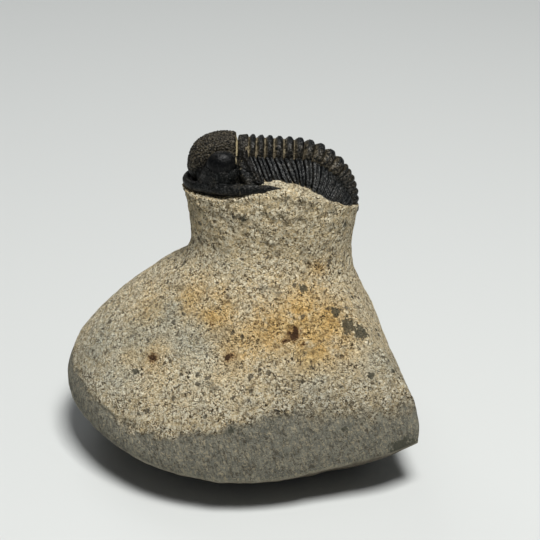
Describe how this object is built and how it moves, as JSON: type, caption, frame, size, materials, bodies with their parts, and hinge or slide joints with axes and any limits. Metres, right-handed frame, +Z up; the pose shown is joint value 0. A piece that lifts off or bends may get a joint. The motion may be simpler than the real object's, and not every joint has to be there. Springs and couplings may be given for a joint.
{
  "type": "trilobite fossil on a limestone pedestal",
  "caption": "Black trilobite with a domed head and curled tail, prepared free of its rock and left on a rounded, flared pedestal of pale limestone.",
  "frame": {"origin": "middle of the outline seen from above, on the plane of the flat foot that the stone rests on", "axes": "+Z up from the foot to the fossil; +X from the animal's head to its tail; +Y towards the animal's right side"},
  "size_m": [0.051, 0.0464, 0.0472],
  "materials": {
    "limestone": "matt, pecked, speckled tan grey with rust stains; ground grey on the rim",
    "glabella_shell": "near black calcite, granular, satin",
    "cheek_shell": "black calcite, smooth, satin to semi-gloss",
    "eye_surface": "black, smooth, soft gloss",
    "thorax_shell": "near black calcite with brown rings and pale sediment in the furrows, satin",
    "pygidium_shell": "near black calcite, finely ribbed, satin"
  },
  "bodies": {
    "root": {"limestone_matrix": "limestone", "cranidium": "glabella_shell", "left_free_cheek": "cheek_shell", "right_free_cheek": "cheek_shell", "left_eye": "eye_surface", "right_eye": "eye_surface", "thoracic_segment_01": "thorax_shell", "thoracic_segment_02": "thorax_shell", "thoracic_segment_03": "thorax_shell", "thoracic_segment_04": "thorax_shell", "thoracic_segment_05": "thorax_shell", "thoracic_segment_06": "thorax_shell", "thoracic_segment_07": "thorax_shell", "thoracic_segment_08": "thorax_shell", "thoracic_segment_09": "thorax_shell", "thoracic_segment_10": "thorax_shell", "pygidium": "pygidium_shell"}
  },
  "joints": []
}
